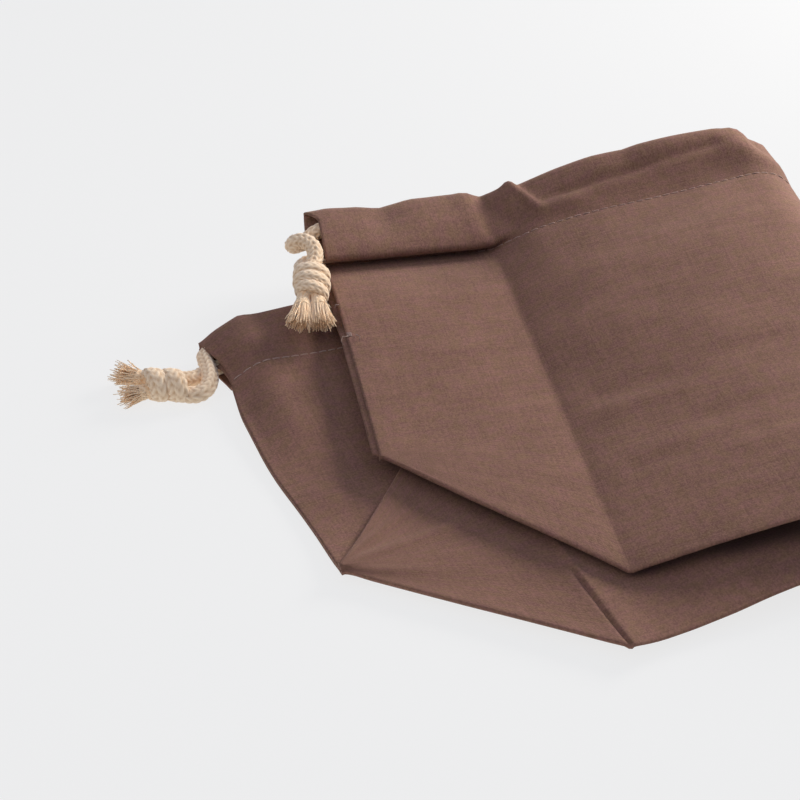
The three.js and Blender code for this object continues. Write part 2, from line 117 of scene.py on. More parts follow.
def mesh_piece(name, points, faces, material):
    mesh = bpy.data.meshes.new(name)
    mesh.from_pydata([tuple(p) for p in points], [], faces)
    mesh.materials.append(material)
    mesh.polygons.foreach_set("use_smooth", [True] * len(mesh.polygons))
    piece = bpy.data.objects.new(name, mesh)
    scene.collection.objects.link(piece)
    return piece


room = bpy.data.worlds.new("room")
room.use_nodes = True
scene.world = room
room_tree = room.node_tree
room_light = room_tree.nodes["Background"]
room_light.inputs["Color"].default_value = ROOM_COLOUR
heading = add_node(room_tree, "ShaderNodeTexCoord").outputs["Generated"]
heading = add_node(room_tree, "ShaderNodeSeparateXYZ", [("Vector", heading)])
sky = mapped(room_tree, heading.outputs["Z"], ROOM_HORIZON, 1, ROOM_LOW, ROOM_HIGH)
room_tree.links.new(sky, room_light.inputs["Strength"])

floor_paint, floor_tree, floor_shader = new_material("pale_sweep", FLOOR_FINISH)
seen = add_node(floor_tree, "ShaderNodeLightPath").outputs["Is Camera Ray"]
glow = mapped(floor_tree, seen, 0, 1, FLOOR_BOUNCE, FLOOR_SEEN_GLOW)
floor_tree.links.new(glow, floor_shader.inputs["Emission Strength"])
corners = [(-FLOOR_HALF, -FLOOR_HALF), (FLOOR_HALF, -FLOOR_HALF)]
corners += [(FLOOR_HALF, FLOOR_HALF), (-FLOOR_HALF, FLOOR_HALF)]
floor = mesh_piece("floor", [(x, y, 0) for x, y in corners], [(0, 1, 2, 3)], floor_paint)


# The bag: one length of brown linen cloth, folded at the bottom, sewn up both sides with boxed
# corners, its top edges turned in as casings. It is pressed flat with the box bottom turned back
# under it, then folded once across its width round a soft roll.

# Sizes in mm on the flat bag: across from the left edge of its front, up from the bottom fold.
MIDDLE = np.array([55.081, 60.537, 0])
WIDTH = 324
GUSSET = 50
FLAP_END = 100
STITCH = 127
MOUTH = 145
CLOTH = 0.55
LAYER_GAP = 0.12
TUNNEL_ROOM = 4.7
TUNNEL_MIDDLE = 136
TUNNEL_HALF = 8.7
FOLD_TILT = math.radians(5.9)
FOLD_AT = 157
TABLE_STEP = 0.25
TABLE_MARGIN = 30


def ramp(start, end, value):
    share = np.clip((value - start) / (end - start), 0, 1)
    return share * share * (3 - 2 * share)


def smooth_table(at, height, soften):
    grid = np.arange(at[0] - TABLE_MARGIN, at[-1] + TABLE_MARGIN, TABLE_STEP)
    line = np.interp(grid, at, height)
    half = max(1, int(soften / TABLE_STEP))
    window = np.hanning(2 * half + 3)
    padded = np.pad(line, half + 1, mode="edge")
    line = np.convolve(padded, window / window.sum(), mode="valid")
    return lambda spot: np.interp(spot, grid, line)


# The upper half over the floor, by up: its left edge, its press crease and the roll beside it.
edge_height = smooth_table(
    at=[0, 50, 100, 112, 121, 145], height=[3.0, 7.8, 13.6, 15.3, 16.3, 16.6], soften=6)
crease_height = smooth_table(
    at=[0, 21, 45, 72, 99, 110, 121, 145],
    height=[4.0, 5.6, 7.5, 9.7, 12.2, 13.4, 14.8, 15.5], soften=6)
roll_radius = smooth_table(
    at=[0, 50, 100, 121, 145], height=[9.8, 11.6, 14.2, 15.3, 16.2], soften=8)

# The upper casing, by up: how it stands over the panel, and how its lip rolls over the stitches.
LIP_UPS = [108, 116, 122, 125, 127, 127.5, 128, 128.6, 129.2, 129.8,
           130.4, 131.2, 132.5, 134, 136, 138, 140, 142, 144]
left_crown = smooth_table(
    at=[*LIP_UPS, 145],
    height=[0, -1.0, -2.2, -2.8, -3.0, -2.0, -1.0, -0.4, 0.3, 1.1,
            1.9, 2.6, 3.6, 4.5, 5.5, 6.4, 7.1, 7.7, 8, 7.3], soften=0.3)
right_crown = smooth_table(
    at=[96, 108, 118, 126, 127, 128, 131, 135, 139, 143, 144.4, 145],
    height=[0, 0.3, 0.9, 1.5, 1.35, 1.7, 2.8, 4.0, 5.1, 6.0, 6.0, 5.5], soften=0.8)
casing_roll = smooth_table(
    at=LIP_UPS,
    height=[0, 1, 3, 4.3, 5, 4.4, 3, 0.9, -0.9, -2.1,
            -2.6, -2.8, -2.7, -2.4, -2, -1.4, -0.7, -0.2, 0.2], soften=0.3)

# By across: waves of the upper mouth, the lower casing at its stitches and mouth, the bottom edge.
mouth_wave = smooth_table(
    at=[-4, 3, 12, 19, 28, 38, 45.5, 49.6, 53.5, 57.5, 60,
        70, 80, 88, 91, 104, 113, 119, 124, 128, 134],
    height=[-0.4, 0.5, 0, -1.2, 0.8, 1.2, 1.5, 0.6, 0.9, 1.5, -0.2,
            0, 0, -1, -0.4, 0.2, 0.8, 0, -1.8, -1, -1], soften=1)
low_stitch = smooth_table(
    at=[200, 240, 292, 300, 307, 314, 318, 324.4],
    height=[4.5, 6, 6.3, 7, 7.8, 8.7, 7.8, 4.3], soften=2.5)
low_mouth = smooth_table(
    at=[200, 240, 299, 311, 315.5, 318, 323, 327.3],
    height=[11, 11.2, 10.7, 10.8, 11.6, 10.4, 8, 5], soften=1.2)
bottom_lift = smooth_table(
    at=[160, 178, 205, 230, 238, 247, 258, 266, 273, 279, 290, 300, 324],
    height=[0, 2.2, 5.0, 5.4, 4.7, 3.3, 2.2, 2.1, 2.4, 1.2, 0.8, 0.6, 0.6], soften=3)


def tunnel(up):
    reach = np.abs(up - TUNNEL_MIDDLE) / TUNNEL_HALF
    return np.sqrt(np.clip(1 - reach ** 3, 0, 1))


SQUEEZED_END = 26
SQUEEZE = 0.6
SQUEEZE_GROWTH = 1.6
LANE_SPLIT = (133, 138)
BACK_THICKENS = (120, STITCH)
BOTTOM_THICKENS = (0, 46)


def layer_depth(layer, across, up):
    at_end = np.clip((across - WIDTH + SQUEEZED_END) / SQUEEZED_END, 0, 1) ** SQUEEZE_GROWTH
    space = TUNNEL_ROOM * tunnel(up)
    front_space = space * (1 - SQUEEZE * at_end * ramp(*LANE_SPLIT, up))
    back_space = space * (1 - SQUEEZE * at_end * ramp(*LANE_SPLIT[::-1], up))
    hem = 1.5 * CLOTH + front_space
    step = CLOTH + LAYER_GAP
    panel = CLOTH / 2 + step
    if layer == "front":
        return np.full_like(up, CLOTH / 2)
    if layer == "front_hem":
        return hem
    if layer == "back_hem":
        return hem + step
    if layer == "back":
        casing = hem + step + CLOTH + back_space
        return np.where(up > STITCH, casing, panel + 2 * step * ramp(*BACK_THICKENS, up))
    if layer == "gusset":
        return panel + step + 0 * up
    return panel + 2 * step * ramp(*BOTTOM_THICKENS, up)


RIDGE_RISES = (-0.05, 0.2)
RIDGE_FADES = (1.05, 0.8)
WAVE_COUNT = 7
WAVE_SPREAD = (0.7, 1.6)


def ridge(across, up, start, end, width, height):
    start, end = np.array(start, float), np.array(end, float)
    line = end - start
    share = ((across - start[0]) * line[0] + (up - start[1]) * line[1]) / (line @ line)
    held = np.clip(share, 0, 1)
    away = np.hypot(across - start[0] - held * line[0], up - start[1] - held * line[1])
    fade = ramp(*RIDGE_RISES, share) * ramp(*RIDGE_FADES, share)
    return height * fade * np.exp(-(away / width) ** 2)


def unevenness(across, up, seed, size):
    rng = np.random.default_rng(seed)
    total = 0 * across
    for _ in range(WAVE_COUNT):
        turn, phase = rng.uniform(0, math.tau, 2)
        pace = math.tau / (size * rng.uniform(*WAVE_SPREAD))
        total = total + np.sin(pace * (across * math.cos(turn) + up * math.sin(turn)) + phase)
    return total / WAVE_COUNT


SWELL = 1.45
SWELL_GAIN = 0.42
SWELL_UPS = (10, 80)


def upper_face(across, up):
    roll = roll_radius(up)
    past_crease = across - GUSSET
    top = FOLD_AT - up * math.tan(FOLD_TILT) - math.pi * roll / 2 / math.cos(FOLD_TILT)
    share = np.clip(past_crease / (top - GUSSET), 0, 1)
    crease = crease_height(up)
    left = crease + (edge_height(up) - crease) * -past_crease / GUSSET
    swell = SWELL + SWELL_GAIN * ramp(*SWELL_UPS, up)
    right = crease + (2 * roll - crease) * (1 - (1 - share) ** swell)
    return np.where(past_crease < 0, left, right)


# Creases of the upper half, each from a start to an end at (across, up), with a width and a height.
UPPER_CREASES = [
    ((56.5, 148), (64, 131.5), 1.4, 1.4), ((52, 140), (58, 128.5), 2.4, -0.6),
    ((62, 132), (76, 132.5), 2.2, 0.8), ((44.5, 145), (46, 130), 1.8, 0.9),
    ((66, 135.5), (94, 137), 1.4, -0.9), ((88, 137), (116, 139.5), 1.4, -0.8),
    ((117, 147), (121.5, 131), 1.5, 0.5), ((122, 147), (128, 132), 1.6, -0.5),
    ((128, 147), (135, 132), 1.8, 0.3), ((134, 147), (140, 133), 1.8, -0.2),
    ((112, 140), (132, 130), 3.4, 0.9), ((104, 134), (116, 128), 4, -0.5),
    ((78, 111), (126, 108), 1.4, 0.25), ((56, 52), (86, 50), 1.7, 0.4),
    ((56, 56.5), (82, 56), 2.4, -0.4), ((90, 57), (110, 58), 2.4, -0.25),
    ((94, 62), (114, 63), 2.2, 0.2), ((60, 33.5), (86, 34.5), 1.7, 0.4),
    ((58, 29.5), (74, 31), 2, -0.35), ((78, 38), (98, 38.5), 2, -0.35),
    ((84, 25.5), (106, 27), 1.9, 0.4), ((74, 15), (91, 13.5), 1.9, 0.3),
    ((20, 60), (44, 66), 2.6, -0.3), ((12, 88), (38, 84), 3, 0.3),
]
UPPER_SWAY = {"height": 0.35, "seed": 3, "size": 34}
UPPER_RIPPLE = {"height": 0.12, "seed": 5, "size": 9}
PRESS_DEPTH = 0.5
PRESS_REACH = 5
PRESS_ENDS = (132, 118)


def swayed(across, up, sway):
    return sway["height"] * unevenness(across, up, sway["seed"], sway["size"])


def upper_creases(across, up):
    bumps = swayed(across, up, UPPER_SWAY)
    for crease in UPPER_CREASES:
        bumps = bumps + ridge(across, up, *crease)
    pressed = PRESS_DEPTH * np.exp(-np.abs(across - GUSSET) / PRESS_REACH) * ramp(*PRESS_ENDS, up)
    return bumps + swayed(across, up, UPPER_RIPPLE) - pressed


LEFT_SHARE = (62, 42)
WAVE_UPS = (131, 142)
CASING_LOOSE = (95, 125)
CASING_SLACK = 0.25
SUNK_DEPTH = 3.0
SUNK_AT = 94
SUNK_HALF = 22
SUNK_BELOW = (100, 126)
SUNK_ABOVE = (143, 129)


def left_share(across):
    return ramp(*LEFT_SHARE, across)


def casing_crown(across, up):
    share = left_share(across)
    wave = mouth_wave(across) * ramp(*WAVE_UPS, up)
    loose = 1 - CASING_SLACK * ramp(*CASING_LOOSE, across)
    sunk = SUNK_DEPTH * np.exp(-((across - SUNK_AT) / SUNK_HALF) ** 2)
    sunk = sunk * ramp(*SUNK_BELOW, up) * ramp(*SUNK_ABOVE, up)
    return left_crown(up) * share + right_crown(up) * loose * (1 - share) + wave - sunk


HEM_LIES = 2.3
HEM_RISES = (84, STITCH)
SAG_FROM = 8
SAG_WIDE = 80
SAG_NARROWS = 54
SAG_NARROWS_AT = (256, 235)
SAG_SHARE = 0.9
FLOOR_SKIN = 0.3
FLOOR_SKIN_STITCH = 2.9
FLOOR_SKIN_MOUTH = 2.0
OFF_THE_ROLL = (170, 205)


def lower_face(across, up, depth):
    stitch = low_stitch(across)
    held = (stitch - HEM_LIES) * ramp(*HEM_RISES, up)
    inward = SAG_WIDE - SAG_NARROWS * ramp(*SAG_NARROWS_AT, across)
    sag = bottom_lift(across) * (1 - SAG_SHARE * ramp(SAG_FROM, inward, up))
    panel = depth + held + sag
    share = (depth - CLOTH / 2) / (layer_depth("back", across, up) - CLOTH / 2)
    closed = 1 - tunnel(up)
    closing = np.where(up < TUNNEL_MIDDLE, stitch - FLOOR_SKIN_STITCH, FLOOR_SKIN_MOUTH)
    floor_skin = FLOOR_SKIN + closing * closed
    rise = np.clip((up - STITCH) / (MOUTH - STITCH), 0, 1)
    top_skin = stitch + (low_mouth(across) - stitch) * rise + np.sin(math.pi * rise)
    casing = floor_skin + share * (top_skin - floor_skin)
    return depth + (np.where(up > STITCH, casing, panel) - depth) * ramp(*OFF_THE_ROLL, across)


# Creases of the lower half, in the same columns, and the sewn bottom corner that shows on it.
LOWER_CREASES = [
    ((311, 112), (316, 70), 7, 0.7),
    ((325, 50.5), (284, 54.5), 1.6, 0.5),
    ((324, 51), (300, 64), 1.2, 0.4),
    ((324, 49), (304, 41), 1.3, 0.4),
    ((273.2, 46), (273.6, 18), 0.9, 0.4),
]
LOWER_SWAY = {"height": 0.22, "seed": 8, "size": 30}
LOWER_SWAY_FROM = (175, 195)
SEAM_STEP = 0.35
SEAM_EDGE = (274.2, 273.8)
SEAM_FADES = (244, 270)
SEAM_ENDS = (38, 14)
SEAM_GROOVE = ((274.4, 28), (274.4, -3), 0.5, 0.6)


def lower_creases(across, up):
    sway = unevenness(across, up, LOWER_SWAY["seed"], LOWER_SWAY["size"]) + 1
    bumps = LOWER_SWAY["height"] * sway * ramp(*LOWER_SWAY_FROM, across)
    for crease in LOWER_CREASES:
        bumps = bumps + ridge(across, up, *crease)
    overlap = ramp(*SEAM_EDGE, across) * ramp(*SEAM_FADES, across) * ramp(*SEAM_ENDS, up)
    return bumps + SEAM_STEP * overlap - ridge(across, up, *SEAM_GROOVE)


def fold_axes(across, up):
    turn, tilt = math.cos(FOLD_TILT), math.sin(FOLD_TILT)
    return (across - FOLD_AT) * turn + up * tilt, -(across - FOLD_AT) * tilt + up * turn


def unfold_axes(past, along):
    turn, tilt = math.cos(FOLD_TILT), math.sin(FOLD_TILT)
    return FOLD_AT + past * turn - along * tilt, past * tilt + along * turn


# How far parts of the cloth have shifted as it settled, and which way each shift goes in x, y, z.
EDGE_RAISED = 3.3
EDGE_RAISED_UPS = (70, 0)
EDGE_RAISED_ACROSS = (140, 95)
EDGE_SHIFT = (-0.43, -1, 1)
CASING_SETTLED = 3
CASING_SETTLED_UPS = (128, 146)
CASING_SHIFT = (0.27, 1.63, -1)
HEM_EASED = 1.5
HEM_EASED_ACROSS = (255, 290)
HEM_SHIFT = (0.12, 1.44, 0)
EAR_CURL = 1.9
EAR_CURL_REACH = 9
EAR_CURL_ACROSS = (264, 282)
LOOSE_ROLL = 9
LOOSE_ROLL_UPS = (60, 140)
LOOSE_ROLL_OVER = (50, 118)
LOOSE_ROLL_UNDER = (265, 195)
CROWN_FADES = (2.2, 0)


def lie(across, up, depth):
    past, along = fold_axes(across, up)
    roll = roll_radius(up)
    reach = math.pi * roll / 2
    crown = casing_crown(across, up) + upper_creases(across, up)
    turn = np.clip((past + reach) / (2 * reach), 0, 1) * math.pi
    radius = roll - depth + crown * ramp(*CROWN_FADES, turn)
    onto = np.where(past > reach, -past, -reach + radius * np.sin(turn))
    x, y = unfold_axes(onto, along)
    top = upper_face(across, up) + crown - depth
    under = lower_face(across, up, depth) + lower_creases(across, up)
    rolled = roll + radius * np.cos(turn)
    z = np.where(past < -reach, top, np.where(past > reach, under, rolled))
    x = np.where(past < -reach, across, x)
    y = np.where(past < -reach, up, y)
    from_diagonal = np.maximum(up - GUSSET + WIDTH - across, 0) / math.sqrt(2)
    z = z + EAR_CURL * np.exp(-from_diagonal / EAR_CURL_REACH) * ramp(*EAR_CURL_ACROSS, across)
    raised = EDGE_RAISED * ramp(*EDGE_RAISED_UPS, up) * ramp(*EDGE_RAISED_ACROSS, across)
    settled = CASING_SETTLED * ramp(*CASING_SETTLED_UPS, up) * left_share(across)
    eased = HEM_EASED * ramp(*HEM_RISES, up)
    eased = eased + HEM_EASED * np.clip((up - STITCH) / (MOUTH - STITCH), 0, 1)
    eased = eased * ramp(*HEM_EASED_ACROSS, across)
    shifts = ((raised, EDGE_SHIFT), (settled, CASING_SHIFT), (eased, HEM_SHIFT))
    for amount, (in_x, in_y, in_z) in shifts:
        x = x + in_x * amount
        y = y + in_y * amount
        z = z + in_z * amount
    loosened = LOOSE_ROLL * ramp(*LOOSE_ROLL_UPS, up)
    x = x + loosened * ramp(*LOOSE_ROLL_OVER, across) * ramp(*LOOSE_ROLL_UNDER, across)
    return np.stack([x, y, z], -1)


LEAN_LEFT = 82
LEAN_RIGHT = 92


def lean(station, up):
    from_left = (station - GUSSET) / LEAN_LEFT
    from_right = (WIDTH - GUSSET - station) / LEAN_RIGHT
    share = np.clip(np.minimum(from_left, from_right), 0, 1)
    return station - up * math.tan(FOLD_TILT) * share


def span(start, end, step):
    count = max(2, int(round(abs(end - start) / step)) + 1)
    return np.linspace(start, end, count)


HEM_EDGE = 127.5
FOLD = 0.8
FOLD_TURNS = (0.16, 0.32, 0.5, 0.68, 0.84)
HEM_STEP = 1.05
PANEL_STEP = 2.3
GUSSET_STEP = 2.6
CASING_FOOT = 125
CASING_STRETCHES = [(MOUTH - FOLD, 132.3, 0.95), (132, 126.4, 0.3)]


def ribbon_stops():
    stops = []

    def turn_over(layer, other, edge, outward):
        for angle in FOLD_TURNS:
            bend = math.pi * angle
            reach = edge + outward * FOLD * (math.sin(bend) - 1)
            stops.append((layer, other, (1 - math.cos(bend)) / 2, reach))

    def lay(layer, ups):
        stops.extend((layer, layer, 0, up) for up in ups)

    casing = np.concatenate([span(*stretch) for stretch in CASING_STRETCHES])
    lay("front_hem", span(HEM_EDGE, MOUTH - FOLD, HEM_STEP))
    turn_over("front_hem", "front", MOUTH, 1)
    lay("front", [*casing, *span(CASING_FOOT, FOLD, PANEL_STEP)])
    turn_over("front", "bottom", 0, -1)
    lay("bottom", span(FOLD, FLAP_END - FOLD, PANEL_STEP))
    turn_over("bottom", "gusset", FLAP_END, 1)
    lay("gusset", span(FLAP_END - FOLD, GUSSET + FOLD, GUSSET_STEP))
    turn_over("gusset", "back", GUSSET, -1)
    lay("back", [*span(GUSSET + FOLD, CASING_FOOT, PANEL_STEP), *casing[::-1]])
    turn_over("back", "back_hem", MOUTH, 1)
    lay("back_hem", span(MOUTH - FOLD, HEM_EDGE, HEM_STEP))
    return stops


# Stretches of the width, each from a start to an end with its own step, finer at creases and ends.
STATION_STRETCHES = [
    (0, 3, 0.75), (3, 12, 1.5), (12, 46, 2.4), (46, 68, 0.9), (68, 120, 2.4), (120, 140, 2),
    (140, 200, 3), (200, 270, 2.6), (270, 273, 0.75), (273, 276, 0.4), (276, 278, 1),
    (278, 312, 2.4), (312, 321, 1.5), (321, 324, 0.75),
]
STATIONS = np.unique(np.concatenate([span(*stretch) for stretch in STATION_STRETCHES]))
EAR_POINT = 0.02
FLARE = 3.5
FLARE_REACH = 12
FLARE_SKIN = (140.5, MOUTH)
FLARE_INNER = (STITCH, 142)
FLARE_RIGHT = (STITCH, MOUTH)
SIDE_BULGE = 2
SIDE_BULGE_UPS = ((62, 100), (132, 112))
SLIT_UPS = ((96, 103), (130, 126))
SLIT_DROP = 1.5
SLIT_OPEN = 1.6
SLIT_OPEN_REACH = 8
SLIT_OPEN_UPS = (130, 125)
HEM_PULL = 4.6
HEM_PULL_UPS = (137, 128)
EAR_OPEN = 1.5
EAR_OPEN_ACROSS = (200, 262)
EAR_OPEN_REACH = 40
EAR_OPEN_UPS = (70, 100)
GAPE_SLOPE = 0.07
GAPE_DEEP = 14
GAPE_ACROSS = ((170, 190), (256, 244))
GAPE_ENDS = (40, 16)


def place(layer, other, share, across, ups):
    depth = (1 - share) * layer_depth(layer, across, ups) + share * layer_depth(other, across, ups)
    from_right = WIDTH - across
    ear = np.clip(np.minimum(across, from_right) / GUSSET, EAR_POINT, 1)
    in_ear = layer in ("bottom", "gusset") or other in ("bottom", "gusset")
    squeezed = np.where((ups < GUSSET) | in_ear, GUSSET + (ups - GUSSET) * ear, ups)
    near_left = np.clip(1 - across / FLARE_REACH, 0, 1)
    near_right = np.clip(1 - from_right / FLARE_REACH, 0, 1)
    skin = layer == "front" and other == "front"
    flare = FLARE * ramp(*(FLARE_SKIN if skin else FLARE_INNER), ups)
    bulge = SIDE_BULGE * ramp(*SIDE_BULGE_UPS[0], squeezed) * ramp(*SIDE_BULGE_UPS[1], ups)
    spread = lean(across, squeezed) - near_left * flare
    spread = spread + near_right * (FLARE * ramp(*FLARE_RIGHT, ups) + bulge)
    slit = 0 * ups
    if layer == "back" and other == "back":
        slit = ramp(*SLIT_UPS[0], ups) * ramp(*SLIT_UPS[1], ups)
        at_slit = np.clip(1 - across / SLIT_OPEN_REACH, 0, 1)
        spread = spread - at_slit * SLIT_OPEN * ramp(*SLIT_OPEN_UPS, ups)
    placed = lie(spread, squeezed, depth)
    if skin:
        placed[:, 1] += casing_roll(ups) * left_share(across)
    if "hem" in layer:
        placed[:, 1] += HEM_PULL * ramp(*HEM_PULL_UPS, ups) * left_share(across)
    placed[:, 2] -= near_left * SLIT_DROP * slit
    if layer in ("bottom", "gusset"):
        opened = ramp(*EAR_OPEN_ACROSS, across) * np.clip(from_right / EAR_OPEN_REACH, 0, 1)
        placed[:, 2] += EAR_OPEN * opened * ramp(*EAR_OPEN_UPS, ups)
    if layer == "bottom":
        gape = GAPE_SLOPE * np.minimum(squeezed, GAPE_DEEP)
        gape = gape * ramp(*GAPE_ACROSS[0], across) * ramp(*GAPE_ACROSS[1], across)
        placed[:, 2] += gape * ramp(*GAPE_ENDS, squeezed)
    return placed


def sheet_mesh(middle, thickness):
    along = np.gradient(middle, axis=0)
    across = np.gradient(middle, axis=1)
    normal = np.cross(along, across)
    normal /= np.maximum(np.linalg.norm(normal, axis=-1, keepdims=True), 1e-9)
    rows, columns = middle.shape[:2]
    sides = [middle + normal * thickness / 2, middle - normal * thickness / 2]
    points = np.concatenate([side.reshape(-1, 3) for side in sides])
    ids = np.arange(rows * columns).reshape(rows, columns)
    under = ids + rows * columns
    faces = []

    def quads(*corners):
        faces.extend(zip(*(corner.ravel().tolist() for corner in corners)))

    quads(ids[:-1, :-1], ids[1:, :-1], ids[1:, 1:], ids[:-1, 1:])
    quads(under[:-1, :-1], under[:-1, 1:], under[1:, 1:], under[1:, :-1])
    quads(ids[0, :-1], ids[0, 1:], under[0, 1:], under[0, :-1])
    quads(ids[-1, 1:], ids[-1, :-1], under[-1, :-1], under[-1, 1:])
    quads(ids[1:, 0], ids[:-1, 0], under[:-1, 0], under[1:, 0])
    quads(ids[:-1, -1], ids[1:, -1], under[1:, -1], under[:-1, -1])
    return points, faces


def to_row(points):
    return (np.asarray(points) - MIDDLE) * MM


def run_along(line):
    return np.concatenate([[0], np.cumsum(np.linalg.norm(np.diff(line, axis=0), axis=-1))])


def point_values(piece, name, values):
    layer = piece.data.attributes.new(name, "FLOAT", "POINT")
    layer.data.foreach_set("value", np.asarray(values, dtype=np.float32))


def weave_lie(piece, across, along):
    uv = piece.data.uv_layers.new(name="thread_lie")
    corners = np.empty(len(piece.data.loops), dtype=np.int32)
    piece.data.loops.foreach_get("vertex_index", corners)
    lay = np.stack([np.asarray(across)[corners], np.asarray(along)[corners]], -1)
    uv.data.foreach_set("uv", lay.ravel().astype(np.float32))


LINEN_FINISH = {"Roughness": 0.92, "Specular IOR Level": 0.15, "Sheen Weight": 0.2,
                "Sheen Roughness": 0.55, "Sheen Tint": (0.9, 0.72, 0.62, 1)}
LINEN_RED = {"dark": (0.140, 0.066, 0.051, 1), "light": (0.288, 0.139, 0.108, 1)}
LINEN_OLIVE = {"dark": (0.136, 0.070, 0.042, 1), "light": (0.270, 0.146, 0.090, 1)}
THREADS_A_METRE = 1 / 0.00036
THREAD_STRETCH = 4
FOLD_LIGHTER_SHARE = 0.16
CROSSING_SHARE = 0.50
THREAD_SHARE = 0.08
YARN_NOISES = {
    "slub_up": {"scale": (1700, 60, 1), "detail": 3.0, "share": 0.40},
    "slub_over": {"scale": (60, 1700, 1), "detail": 3.0, "share": 0.40},
    "blotch": {"scale": (70, 70, 1), "detail": 4.0, "share": 0.50},
    "fleck": {"scale": (2400, 2400, 1), "detail": 2.0, "share": 0.50},
    "streak": {"scale": (22, 150, 1), "detail": 3.0, "share": 0.3},
}
TONE_RANGE = (0.92, 1.87)
DYE_NOISE = {"scale": (300, 420, 1), "detail": 3.0}
DYE_RANGE = (0.36, 0.64)
SLUB_HEIGHT = 1.2
WEAVE_BUMP = {"Strength": 0.4, "Distance": 0.00012}
MIX_COLOURS = slice(6, 8)
MIX_RESULT = 2


def maths(tree, operation, a, b):
    node = add_node(tree, "ShaderNodeMath", operation=operation)
    for socket, value in zip(node.inputs, (a, b)):
        if isinstance(value, (int, float)):
            socket.default_value = value
        else:
            tree.links.new(value, socket)
    return node.outputs[0]


def mixed_colour(tree, factor, first, second):
    node = add_node(tree, "ShaderNodeMix", [("Factor", factor)], data_type="RGBA")
    for socket, colour in zip(node.inputs[MIX_COLOURS], (first, second)):
        if isinstance(colour, tuple):
            socket.default_value = colour
        else:
            tree.links.new(colour, socket)
    return node.outputs[MIX_RESULT]


def linen_material():
    material, tree, shader = new_material("brown_linen", LINEN_FINISH)
    lay = add_node(tree, "ShaderNodeUVMap", uv_map="thread_lie").outputs["UV"]

    def stretched(scale):
        return add_node(tree, "ShaderNodeMapping", [("Vector", lay)], Scale=scale).outputs["Vector"]

    def noise(scale, detail):
        links = [("Vector", stretched(scale))]
        return add_node(tree, "ShaderNodeTexNoise", links, Scale=1.0, Detail=detail).outputs["Fac"]

    def whole_threads(scale):
        threads = add_node(tree, "ShaderNodeVectorMath", [(0, stretched(scale))], operation="FLOOR")
        links = [("Vector", threads.outputs[0])]
        return add_node(tree, "ShaderNodeTexWhiteNoise", links).outputs["Value"]

    crossings = whole_threads((THREADS_A_METRE, THREADS_A_METRE, 1))
    warp = whole_threads((THREADS_A_METRE, THREAD_STRETCH, 1))
    weft = whole_threads((THREAD_STRETCH, THREADS_A_METRE, 1))
    yarns = {name: noise(yarn["scale"], yarn["detail"]) for name, yarn in YARN_NOISES.items()}
    parts = [(crossings, CROSSING_SHARE), (warp, THREAD_SHARE), (weft, THREAD_SHARE)]
    parts += [(yarns[name], yarn["share"]) for name, yarn in YARN_NOISES.items()]
    # The rows turned over at the folds are coloured lighter.
    at_fold = add_node(tree, "ShaderNodeAttribute", attribute_name="fold_lighter").outputs["Fac"]
    tone = maths(tree, "MULTIPLY", at_fold, FOLD_LIGHTER_SHARE)
    for part, share in parts:
        tone = maths(tree, "ADD", tone, maths(tree, "MULTIPLY", part, share))
    tone = mapped(tree, tone, *TONE_RANGE)
    red, olive = (mixed_colour(tree, tone, dye["dark"], dye["light"]) for dye in (LINEN_RED, LINEN_OLIVE))
    dyed = mapped(tree, noise(DYE_NOISE["scale"], DYE_NOISE["detail"]), *DYE_RANGE)
    tree.links.new(mixed_colour(tree, dyed, red, olive), shader.inputs["Base Color"])
    height = crossings
    for name in ("slub_up", "slub_over"):
        height = maths(tree, "ADD", height, maths(tree, "MULTIPLY", yarns[name], SLUB_HEIGHT))
    bump = add_node(tree, "ShaderNodeBump", [("Height", height)], **WEAVE_BUMP)
    tree.links.new(bump.outputs["Normal"], shader.inputs["Normal"])
    return material


LENGTH_STATION = 85
stops = ribbon_stops()
middle = np.array([place(layer, other, share, STATIONS, np.full_like(STATIONS, up))
                   for layer, other, share, up in stops])
points, faces = sheet_mesh(middle, CLOTH)
bag = mesh_piece("bag_linen", to_row(points), faces, linen_material())
run = run_along(middle[:, LENGTH_STATION])
across_lie = np.tile(STATIONS, 2 * len(stops)) * MM
along_lie = np.tile(np.repeat(run, len(STATIONS)), 2) * MM
weave_lie(bag, across_lie, along_lie)
# Rows that turn over a fold are marked to be coloured lighter.
at_fold = [float(layer != other) for layer, other, _, _ in stops]
point_values(bag, "fold_lighter", np.tile(np.repeat(at_fold, len(STATIONS)), 2))
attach(bag, "root")
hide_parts("bag_cloth")


# The stitching: brown sewing thread. One row holds down each casing, and a bar of close stitches
# ends the left side slit, with cut thread ends left standing.
THREAD_RADIUS = 0.17
THREAD_SIDES = 6
THREAD_FINISH = {"Roughness": 0.7, "Sheen Weight": 0.2}
UPPER_THREAD = (0.33, 0.2, 0.155, 1)
LOWER_THREAD = (0.38, 0.25, 0.2, 1)
TACK_THREAD = (0.2, 0.115, 0.09, 1)
STITCH_LONG = 2.1
STITCH_EVERY = 2.7
STITCH_POINTS = 6
STITCH_ARCH = 0.16
STITCH_SUNK = 0.07
CASING_ROW = STITCH - 0.1
UPPER_ROW = (46, 146)
LOWER_ROW = (WIDTH - 1, 214)
TACK_ACROSS = (0.1, 1.5)
TACK_LOW = 95.2
TACK_TALL = 1.4
TACK_STITCHES = 7
TACK_ARCH = 0.12
SLIT_EDGE = 0.1
THREAD_END_RADIUS = 0.1
THREAD_ENDS = [
    ((0.4, 95, 0.3), (-1.4, 94.2, 1.2), (-2.2, 92.2, 1.4), (-1.6, 90.6, 1)),
    ((0.2, 108, 0.3), (-1, 107.4, 1.1), (-1.5, 105.8, 1.2)),
    ((2.6, 95.4, 0.3), (3.4, 93.8, 0.8), (3, 92.4, 0.7)),
]
PROBE = 0.2


